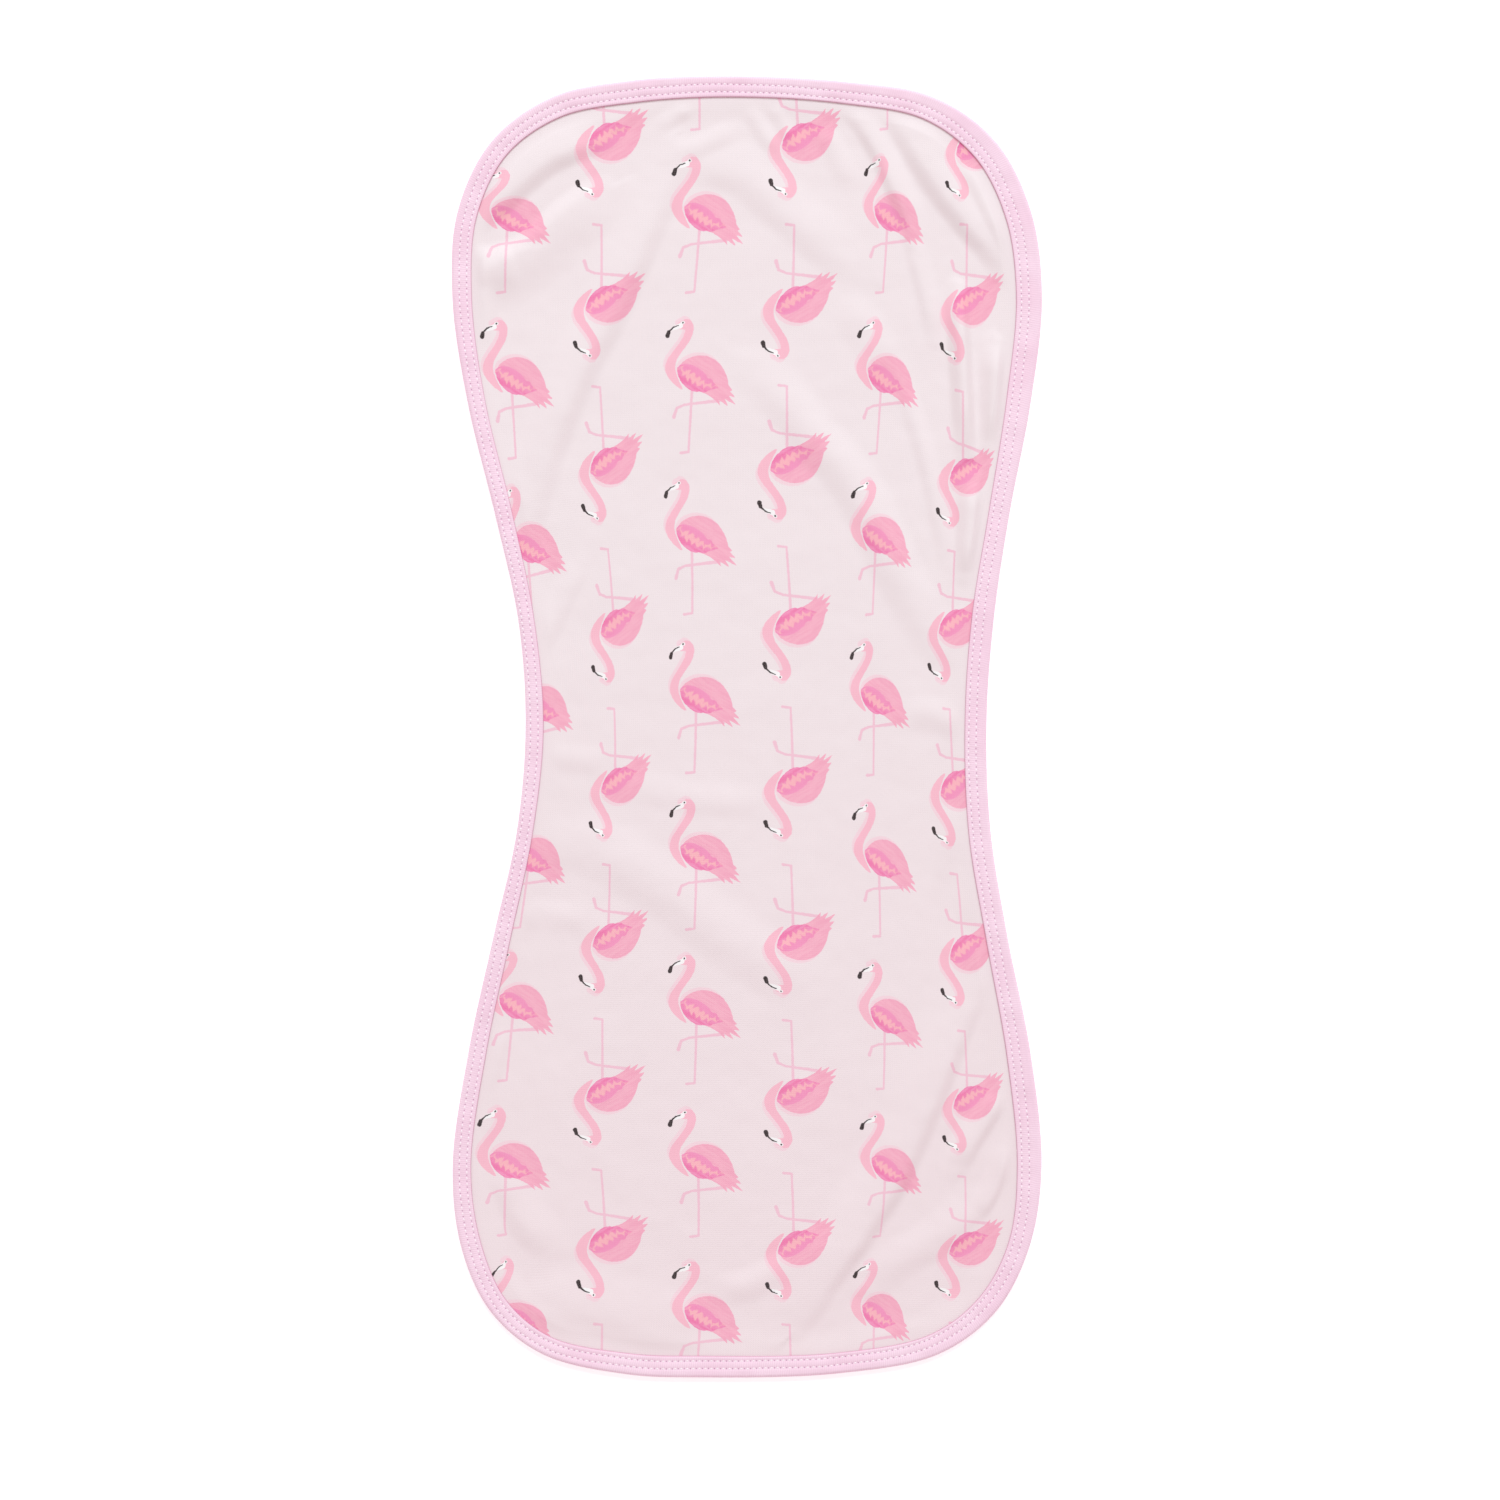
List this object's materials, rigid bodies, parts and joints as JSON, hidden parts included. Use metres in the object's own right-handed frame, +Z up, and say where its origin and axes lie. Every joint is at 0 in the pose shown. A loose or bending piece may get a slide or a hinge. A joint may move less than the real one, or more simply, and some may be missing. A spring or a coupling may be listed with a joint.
{
  "type": "burp cloth",
  "caption": "Hourglass burp cloth of printed cotton knit with a knit binding sewn round its edge, lying flat with soft folds.",
  "frame": {"origin": "middle of the cloth's outline, on the surface that it lies on", "axes": "+X across the cloth to the right, +Y along its length to the top end, +Z up from the surface"},
  "size_m": [0.2541, 0.56, 0.0056],
  "materials": {
    "printed_knit": "matt cotton interlock knit, off-white with a pink bird print",
    "pink_binding": "matt soft pink cotton rib, topstitched in two rows"
  },
  "bodies": {
    "root": {"panel": "printed_knit", "binding": "pink_binding"}
  },
  "joints": []
}
